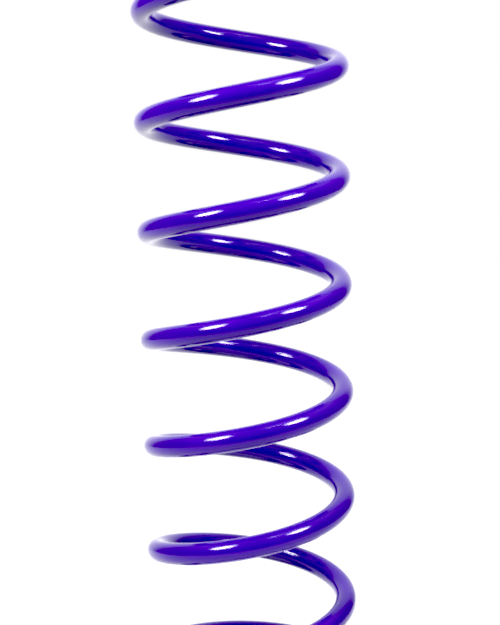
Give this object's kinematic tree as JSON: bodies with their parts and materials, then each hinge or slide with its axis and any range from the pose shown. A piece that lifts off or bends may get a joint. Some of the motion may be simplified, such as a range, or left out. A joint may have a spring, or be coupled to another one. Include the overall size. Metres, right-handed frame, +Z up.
{
  "type": "coil spring",
  "caption": "Right-hand round-wire compression spring, closed and ground flat at both ends, powder-coated, for a coil-over damper.",
  "frame": {"origin": "middle of the bottom seat plane, on the coil's axis", "axes": "+Z up the coil's axis, from the bottom seat to the top seat"},
  "size_m": [0.0798, 0.0798, 0.3048],
  "materials": {
    "powder_coat": "gloss candy-purple powder coat on spring steel"
  },
  "bodies": {
    "bottom_end_coil": {"bottom_end_coil": "powder_coat"},
    "coil_1_arc_1": {"coil_1_arc_1": "powder_coat"},
    "coil_1_arc_2": {"coil_1_arc_2": "powder_coat"},
    "coil_1_arc_3": {"coil_1_arc_3": "powder_coat"},
    "coil_1_arc_4": {"coil_1_arc_4": "powder_coat"},
    "coil_1_arc_5": {"coil_1_arc_5": "powder_coat"},
    "coil_1_arc_6": {"coil_1_arc_6": "powder_coat"},
    "coil_2_arc_1": {"coil_2_arc_1": "powder_coat"},
    "coil_2_arc_2": {"coil_2_arc_2": "powder_coat"},
    "coil_2_arc_3": {"coil_2_arc_3": "powder_coat"},
    "coil_2_arc_4": {"coil_2_arc_4": "powder_coat"},
    "coil_2_arc_5": {"coil_2_arc_5": "powder_coat"},
    "coil_2_arc_6": {"coil_2_arc_6": "powder_coat"},
    "coil_3_arc_1": {"coil_3_arc_1": "powder_coat"},
    "coil_3_arc_2": {"coil_3_arc_2": "powder_coat"},
    "coil_3_arc_3": {"coil_3_arc_3": "powder_coat"},
    "coil_3_arc_4": {"coil_3_arc_4": "powder_coat"},
    "coil_3_arc_5": {"coil_3_arc_5": "powder_coat"},
    "coil_3_arc_6": {"coil_3_arc_6": "powder_coat"},
    "coil_4_arc_1": {"coil_4_arc_1": "powder_coat"},
    "coil_4_arc_2": {"coil_4_arc_2": "powder_coat"},
    "coil_4_arc_3": {"coil_4_arc_3": "powder_coat"},
    "coil_4_arc_4": {"coil_4_arc_4": "powder_coat"},
    "coil_4_arc_5": {"coil_4_arc_5": "powder_coat"},
    "coil_4_arc_6": {"coil_4_arc_6": "powder_coat"},
    "coil_5_arc_1": {"coil_5_arc_1": "powder_coat"},
    "coil_5_arc_2": {"coil_5_arc_2": "powder_coat"},
    "coil_5_arc_3": {"coil_5_arc_3": "powder_coat"},
    "coil_5_arc_4": {"coil_5_arc_4": "powder_coat"},
    "coil_5_arc_5": {"coil_5_arc_5": "powder_coat"},
    "coil_5_arc_6": {"coil_5_arc_6": "powder_coat"},
    "coil_6_arc_1": {"coil_6_arc_1": "powder_coat"},
    "coil_6_arc_2": {"coil_6_arc_2": "powder_coat"},
    "coil_6_arc_3": {"coil_6_arc_3": "powder_coat"},
    "coil_6_arc_4": {"coil_6_arc_4": "powder_coat"},
    "coil_6_arc_5": {"coil_6_arc_5": "powder_coat"},
    "coil_6_arc_6": {"coil_6_arc_6": "powder_coat"},
    "coil_7_arc_1": {"coil_7_arc_1": "powder_coat"},
    "coil_7_arc_2": {"coil_7_arc_2": "powder_coat"},
    "coil_7_arc_3": {"coil_7_arc_3": "powder_coat"},
    "coil_7_arc_4": {"coil_7_arc_4": "powder_coat"},
    "coil_7_arc_5": {"coil_7_arc_5": "powder_coat"},
    "coil_7_arc_6": {"coil_7_arc_6": "powder_coat"},
    "coil_8_arc_1": {"coil_8_arc_1": "powder_coat"},
    "coil_8_arc_2": {"coil_8_arc_2": "powder_coat"},
    "top_end_coil": {"top_end_coil": "powder_coat"}
  },
  "joints": [
    {"name": "compression", "type": "slide", "parent": "bottom_end_coil", "child": "top_end_coil", "axis": [0, 0, -1], "range_m": [0, 0.2], "stiffness_N_per_m": 15700},
    {"name": "coil_1_arc_1_travel", "type": "slide", "parent": "bottom_end_coil", "child": "coil_1_arc_1", "axis": [0, 0, -1], "range_m": [0, 0.00041]},
    {"name": "coil_1_arc_2_travel", "type": "slide", "parent": "bottom_end_coil", "child": "coil_1_arc_2", "axis": [0, 0, -1], "range_m": [0, 0.00225]},
    {"name": "coil_1_arc_3_travel", "type": "slide", "parent": "bottom_end_coil", "child": "coil_1_arc_3", "axis": [0, 0, -1], "range_m": [0, 0.00581]},
    {"name": "coil_1_arc_4_travel", "type": "slide", "parent": "bottom_end_coil", "child": "coil_1_arc_4", "axis": [0, 0, -1], "range_m": [0, 0.01048]},
    {"name": "coil_1_arc_5_travel", "type": "slide", "parent": "bottom_end_coil", "child": "coil_1_arc_5", "axis": [0, 0, -1], "range_m": [0, 0.0153]},
    {"name": "coil_1_arc_6_travel", "type": "slide", "parent": "bottom_end_coil", "child": "coil_1_arc_6", "axis": [0, 0, -1], "range_m": [0, 0.02012]},
    {"name": "coil_2_arc_1_travel", "type": "slide", "parent": "bottom_end_coil", "child": "coil_2_arc_1", "axis": [0, 0, -1], "range_m": [0, 0.02493]},
    {"name": "coil_2_arc_2_travel", "type": "slide", "parent": "bottom_end_coil", "child": "coil_2_arc_2", "axis": [0, 0, -1], "range_m": [0, 0.02975]},
    {"name": "coil_2_arc_3_travel", "type": "slide", "parent": "bottom_end_coil", "child": "coil_2_arc_3", "axis": [0, 0, -1], "range_m": [0, 0.03457]},
    {"name": "coil_2_arc_4_travel", "type": "slide", "parent": "bottom_end_coil", "child": "coil_2_arc_4", "axis": [0, 0, -1], "range_m": [0, 0.03938]},
    {"name": "coil_2_arc_5_travel", "type": "slide", "parent": "bottom_end_coil", "child": "coil_2_arc_5", "axis": [0, 0, -1], "range_m": [0, 0.0442]},
    {"name": "coil_2_arc_6_travel", "type": "slide", "parent": "bottom_end_coil", "child": "coil_2_arc_6", "axis": [0, 0, -1], "range_m": [0, 0.04902]},
    {"name": "coil_3_arc_1_travel", "type": "slide", "parent": "bottom_end_coil", "child": "coil_3_arc_1", "axis": [0, 0, -1], "range_m": [0, 0.05383]},
    {"name": "coil_3_arc_2_travel", "type": "slide", "parent": "bottom_end_coil", "child": "coil_3_arc_2", "axis": [0, 0, -1], "range_m": [0, 0.05865]},
    {"name": "coil_3_arc_3_travel", "type": "slide", "parent": "bottom_end_coil", "child": "coil_3_arc_3", "axis": [0, 0, -1], "range_m": [0, 0.06347]},
    {"name": "coil_3_arc_4_travel", "type": "slide", "parent": "bottom_end_coil", "child": "coil_3_arc_4", "axis": [0, 0, -1], "range_m": [0, 0.06828]},
    {"name": "coil_3_arc_5_travel", "type": "slide", "parent": "bottom_end_coil", "child": "coil_3_arc_5", "axis": [0, 0, -1], "range_m": [0, 0.0731]},
    {"name": "coil_3_arc_6_travel", "type": "slide", "parent": "bottom_end_coil", "child": "coil_3_arc_6", "axis": [0, 0, -1], "range_m": [0, 0.07792]},
    {"name": "coil_4_arc_1_travel", "type": "slide", "parent": "bottom_end_coil", "child": "coil_4_arc_1", "axis": [0, 0, -1], "range_m": [0, 0.08273]},
    {"name": "coil_4_arc_2_travel", "type": "slide", "parent": "bottom_end_coil", "child": "coil_4_arc_2", "axis": [0, 0, -1], "range_m": [0, 0.08755]},
    {"name": "coil_4_arc_3_travel", "type": "slide", "parent": "bottom_end_coil", "child": "coil_4_arc_3", "axis": [0, 0, -1], "range_m": [0, 0.09237]},
    {"name": "coil_4_arc_4_travel", "type": "slide", "parent": "bottom_end_coil", "child": "coil_4_arc_4", "axis": [0, 0, -1], "range_m": [0, 0.09718]},
    {"name": "coil_4_arc_5_travel", "type": "slide", "parent": "bottom_end_coil", "child": "coil_4_arc_5", "axis": [0, 0, -1], "range_m": [0, 0.102]},
    {"name": "coil_4_arc_6_travel", "type": "slide", "parent": "bottom_end_coil", "child": "coil_4_arc_6", "axis": [0, 0, -1], "range_m": [0, 0.10682]},
    {"name": "coil_5_arc_1_travel", "type": "slide", "parent": "bottom_end_coil", "child": "coil_5_arc_1", "axis": [0, 0, -1], "range_m": [0, 0.11163]},
    {"name": "coil_5_arc_2_travel", "type": "slide", "parent": "bottom_end_coil", "child": "coil_5_arc_2", "axis": [0, 0, -1], "range_m": [0, 0.11645]},
    {"name": "coil_5_arc_3_travel", "type": "slide", "parent": "bottom_end_coil", "child": "coil_5_arc_3", "axis": [0, 0, -1], "range_m": [0, 0.12126]},
    {"name": "coil_5_arc_4_travel", "type": "slide", "parent": "bottom_end_coil", "child": "coil_5_arc_4", "axis": [0, 0, -1], "range_m": [0, 0.12608]},
    {"name": "coil_5_arc_5_travel", "type": "slide", "parent": "bottom_end_coil", "child": "coil_5_arc_5", "axis": [0, 0, -1], "range_m": [0, 0.1309]},
    {"name": "coil_5_arc_6_travel", "type": "slide", "parent": "bottom_end_coil", "child": "coil_5_arc_6", "axis": [0, 0, -1], "range_m": [0, 0.13571]},
    {"name": "coil_6_arc_1_travel", "type": "slide", "parent": "bottom_end_coil", "child": "coil_6_arc_1", "axis": [0, 0, -1], "range_m": [0, 0.14053]},
    {"name": "coil_6_arc_2_travel", "type": "slide", "parent": "bottom_end_coil", "child": "coil_6_arc_2", "axis": [0, 0, -1], "range_m": [0, 0.14535]},
    {"name": "coil_6_arc_3_travel", "type": "slide", "parent": "bottom_end_coil", "child": "coil_6_arc_3", "axis": [0, 0, -1], "range_m": [0, 0.15016]},
    {"name": "coil_6_arc_4_travel", "type": "slide", "parent": "bottom_end_coil", "child": "coil_6_arc_4", "axis": [0, 0, -1], "range_m": [0, 0.15498]},
    {"name": "coil_6_arc_5_travel", "type": "slide", "parent": "bottom_end_coil", "child": "coil_6_arc_5", "axis": [0, 0, -1], "range_m": [0, 0.1598]},
    {"name": "coil_6_arc_6_travel", "type": "slide", "parent": "bottom_end_coil", "child": "coil_6_arc_6", "axis": [0, 0, -1], "range_m": [0, 0.16461]},
    {"name": "coil_7_arc_1_travel", "type": "slide", "parent": "bottom_end_coil", "child": "coil_7_arc_1", "axis": [0, 0, -1], "range_m": [0, 0.16943]},
    {"name": "coil_7_arc_2_travel", "type": "slide", "parent": "bottom_end_coil", "child": "coil_7_arc_2", "axis": [0, 0, -1], "range_m": [0, 0.17425]},
    {"name": "coil_7_arc_3_travel", "type": "slide", "parent": "bottom_end_coil", "child": "coil_7_arc_3", "axis": [0, 0, -1], "range_m": [0, 0.17906]},
    {"name": "coil_7_arc_4_travel", "type": "slide", "parent": "bottom_end_coil", "child": "coil_7_arc_4", "axis": [0, 0, -1], "range_m": [0, 0.18388]},
    {"name": "coil_7_arc_5_travel", "type": "slide", "parent": "bottom_end_coil", "child": "coil_7_arc_5", "axis": [0, 0, -1], "range_m": [0, 0.1887]},
    {"name": "coil_7_arc_6_travel", "type": "slide", "parent": "bottom_end_coil", "child": "coil_7_arc_6", "axis": [0, 0, -1], "range_m": [0, 0.19344]},
    {"name": "coil_8_arc_1_travel", "type": "slide", "parent": "bottom_end_coil", "child": "coil_8_arc_1", "axis": [0, 0, -1], "range_m": [0, 0.19726]},
    {"name": "coil_8_arc_2_travel", "type": "slide", "parent": "bottom_end_coil", "child": "coil_8_arc_2", "axis": [0, 0, -1], "range_m": [0, 0.1994]}
  ],
  "couplings": [
    {"joint": "coil_1_arc_1_travel", "follows": "compression", "ratio": 0.00205},
    {"joint": "coil_1_arc_2_travel", "follows": "compression", "ratio": 0.01123},
    {"joint": "coil_1_arc_3_travel", "follows": "compression", "ratio": 0.02905},
    {"joint": "coil_1_arc_4_travel", "follows": "compression", "ratio": 0.0524},
    {"joint": "coil_1_arc_5_travel", "follows": "compression", "ratio": 0.07648},
    {"joint": "coil_1_arc_6_travel", "follows": "compression", "ratio": 0.10057},
    {"joint": "coil_2_arc_1_travel", "follows": "compression", "ratio": 0.12465},
    {"joint": "coil_2_arc_2_travel", "follows": "compression", "ratio": 0.14873},
    {"joint": "coil_2_arc_3_travel", "follows": "compression", "ratio": 0.17281},
    {"joint": "coil_2_arc_4_travel", "follows": "compression", "ratio": 0.1969},
    {"joint": "coil_2_arc_5_travel", "follows": "compression", "ratio": 0.22098},
    {"joint": "coil_2_arc_6_travel", "follows": "compression", "ratio": 0.24506},
    {"joint": "coil_3_arc_1_travel", "follows": "compression", "ratio": 0.26915},
    {"joint": "coil_3_arc_2_travel", "follows": "compression", "ratio": 0.29323},
    {"joint": "coil_3_arc_3_travel", "follows": "compression", "ratio": 0.31731},
    {"joint": "coil_3_arc_4_travel", "follows": "compression", "ratio": 0.34139},
    {"joint": "coil_3_arc_5_travel", "follows": "compression", "ratio": 0.36548},
    {"joint": "coil_3_arc_6_travel", "follows": "compression", "ratio": 0.38956},
    {"joint": "coil_4_arc_1_travel", "follows": "compression", "ratio": 0.41364},
    {"joint": "coil_4_arc_2_travel", "follows": "compression", "ratio": 0.43772},
    {"joint": "coil_4_arc_3_travel", "follows": "compression", "ratio": 0.46181},
    {"joint": "coil_4_arc_4_travel", "follows": "compression", "ratio": 0.48589},
    {"joint": "coil_4_arc_5_travel", "follows": "compression", "ratio": 0.50997},
    {"joint": "coil_4_arc_6_travel", "follows": "compression", "ratio": 0.53406},
    {"joint": "coil_5_arc_1_travel", "follows": "compression", "ratio": 0.55814},
    {"joint": "coil_5_arc_2_travel", "follows": "compression", "ratio": 0.58222},
    {"joint": "coil_5_arc_3_travel", "follows": "compression", "ratio": 0.6063},
    {"joint": "coil_5_arc_4_travel", "follows": "compression", "ratio": 0.63039},
    {"joint": "coil_5_arc_5_travel", "follows": "compression", "ratio": 0.65447},
    {"joint": "coil_5_arc_6_travel", "follows": "compression", "ratio": 0.67855},
    {"joint": "coil_6_arc_1_travel", "follows": "compression", "ratio": 0.70264},
    {"joint": "coil_6_arc_2_travel", "follows": "compression", "ratio": 0.72672},
    {"joint": "coil_6_arc_3_travel", "follows": "compression", "ratio": 0.7508},
    {"joint": "coil_6_arc_4_travel", "follows": "compression", "ratio": 0.77488},
    {"joint": "coil_6_arc_5_travel", "follows": "compression", "ratio": 0.79897},
    {"joint": "coil_6_arc_6_travel", "follows": "compression", "ratio": 0.82305},
    {"joint": "coil_7_arc_1_travel", "follows": "compression", "ratio": 0.84713},
    {"joint": "coil_7_arc_2_travel", "follows": "compression", "ratio": 0.87122},
    {"joint": "coil_7_arc_3_travel", "follows": "compression", "ratio": 0.8953},
    {"joint": "coil_7_arc_4_travel", "follows": "compression", "ratio": 0.91938},
    {"joint": "coil_7_arc_5_travel", "follows": "compression", "ratio": 0.94346},
    {"joint": "coil_7_arc_6_travel", "follows": "compression", "ratio": 0.96718},
    {"joint": "coil_8_arc_1_travel", "follows": "compression", "ratio": 0.9863},
    {"joint": "coil_8_arc_2_travel", "follows": "compression", "ratio": 0.99698}
  ]
}
